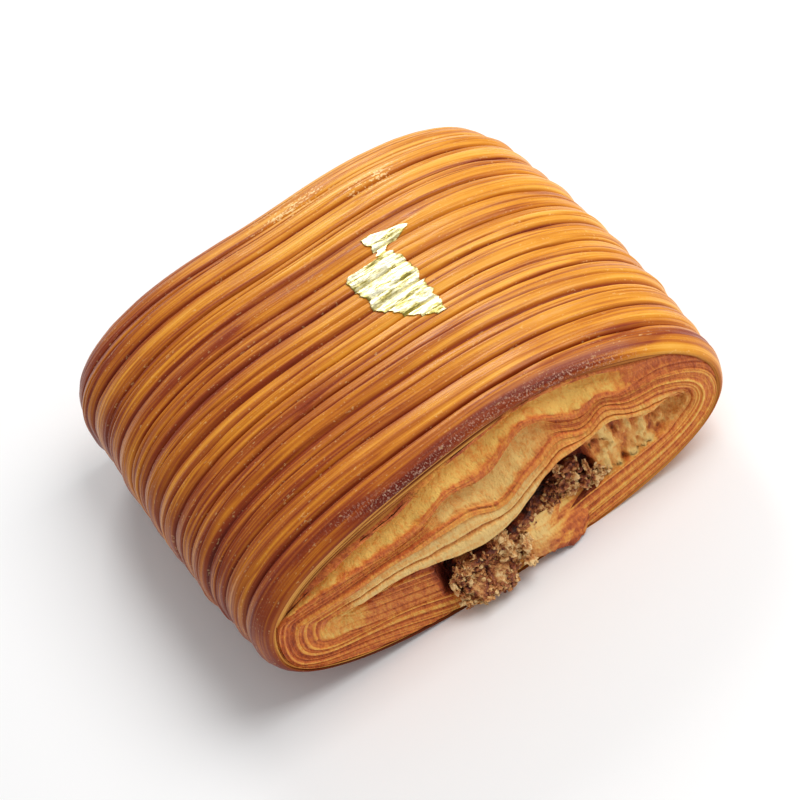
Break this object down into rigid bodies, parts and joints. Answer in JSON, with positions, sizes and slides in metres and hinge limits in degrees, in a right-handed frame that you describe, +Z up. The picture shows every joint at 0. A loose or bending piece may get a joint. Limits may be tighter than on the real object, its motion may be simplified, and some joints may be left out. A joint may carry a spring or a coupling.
{
  "type": "pain suisse",
  "caption": "Flat rolled laminated pastry with a ribbed golden wrap, a dark filling running through it and a patch of gold leaf on top.",
  "frame": {"origin": "centre of the object's box in X and Y, at the level of the flat underside", "axes": "+Z up; Y runs along the roll, with the cut end where the crumbs spill facing -Y; X runs across the roll"},
  "size_m": [0.1178, 0.0994, 0.0464],
  "materials": {
    "pastry": "glazed baked crust, golden brown",
    "filling": "rough dark crumbly filling",
    "gold_leaf": "crinkled gold leaf"
  },
  "bodies": {
    "root": {"pastry": "pastry", "filling": "filling", "gold_leaf": "gold_leaf"}
  },
  "joints": []
}
